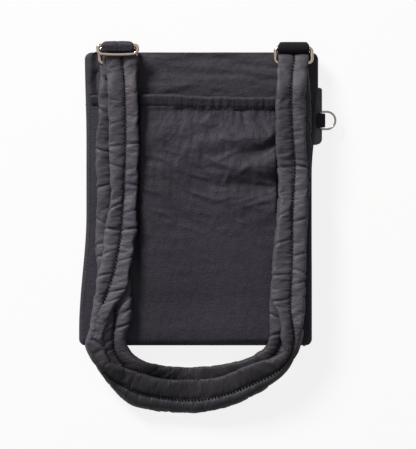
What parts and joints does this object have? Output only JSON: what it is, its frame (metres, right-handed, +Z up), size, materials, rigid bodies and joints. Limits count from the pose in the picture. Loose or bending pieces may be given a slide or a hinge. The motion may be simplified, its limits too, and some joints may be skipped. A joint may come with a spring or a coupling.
{
  "type": "crossbody bag",
  "caption": "Flat rectangular crossbody bag of crinkled nylon with a gathered back pocket, a zip mouth and a doubled padded strap on metal rings.",
  "frame": {"origin": "on the surface that the bag lies on, under the middle of its body", "axes": "+X towards the wearer's side with the small ring, +Y from the foot to the mouth, +Z up from the front panel through the back panel"},
  "size_m": [0.2065, 0.2959, 0.0342],
  "materials": {
    "shell_nylon": "crinkled nylon with a faint sheen",
    "pocket_nylon": "crinkled nylon with a faint sheen",
    "lining_fabric": "plain lining weave",
    "elastic_band": "ribbed elastic",
    "zip_fabric": "herringbone tape",
    "zip_nylon": "moulded teeth",
    "zip_metal": "polished",
    "webbing_black": "smooth black webbing",
    "ring_metal": "polished warm silver",
    "strap_nylon": "padded nylon with a sewn centre seam"
  },
  "bodies": {
    "bag": {"front_panel": "shell_nylon", "back_panel": "shell_nylon", "left_gusset": "shell_nylon", "right_gusset": "shell_nylon", "bottom_gusset": "shell_nylon", "lining_front": "lining_fabric", "lining_back": "lining_fabric", "patch_pocket": "pocket_nylon", "pocket_hem": "pocket_nylon", "pocket_elastic": "elastic_band", "zip_tape_front": "zip_fabric", "zip_tape_back": "zip_fabric", "zip_teeth_front": "zip_nylon", "zip_teeth_back": "zip_nylon", "zip_bottom_stop": "zip_metal", "zip_top_stop_front": "zip_metal", "zip_top_stop_back": "zip_metal", "zip_end_tab_left": "shell_nylon", "zip_end_tab_right": "shell_nylon", "left_strap_tab": "webbing_black", "right_strap_tab": "webbing_black", "side_tab": "shell_nylon", "side_ring_loop": "webbing_black"},
    "strap": {"left_ring": "ring_metal", "right_ring": "ring_metal", "strap_inner_left": "strap_nylon", "strap_inner_loop": "strap_nylon", "strap_inner_right": "strap_nylon", "strap_outer_right": "strap_nylon", "strap_outer_loop": "strap_nylon", "strap_outer_left": "strap_nylon", "strap_sewn_end": "strap_nylon", "strap_ring_fold": "strap_nylon", "strap_slider_end": "strap_nylon"},
    "slider": {"strap_slider": "ring_metal"},
    "side_ring": {"side_ring": "ring_metal"},
    "zip_slider": {"zip_slider": "zip_metal"},
    "zip_pull": {"zip_pull": "zip_metal"}
  },
  "joints": [
    {"name": "strap_lift", "type": "hinge", "parent": "bag", "child": "strap", "pos_m": [0, 0.1209, 0.01793], "axis": [-1, 0, 0], "range_deg": [0, 160], "deforming": ["left_strap_tab", "right_strap_tab"]},
    {"name": "slider_swing", "type": "hinge", "parent": "strap", "child": "slider", "pos_m": [-0.0648, 0.1222, 0.02838], "axis": [-1, 0, 0], "range_deg": [0, 100]},
    {"name": "side_ring_swing", "type": "hinge", "parent": "bag", "child": "side_ring", "pos_m": [0.09778, 0.0632, 0.007], "axis": [0, -1, 0], "range_deg": [0, 110]},
    {"name": "zip_travel", "type": "slide", "parent": "bag", "child": "zip_slider", "axis": [-1, 0, 0], "range_m": [0, 0.14], "deforming": ["zip_teeth_front", "zip_teeth_back"]},
    {"name": "zip_pull_swing", "type": "hinge", "parent": "zip_slider", "child": "zip_pull", "pos_m": [0.0751, 0.1085, 0.005], "axis": [0, 0, -1], "range_deg": [0, 150]}
  ]
}
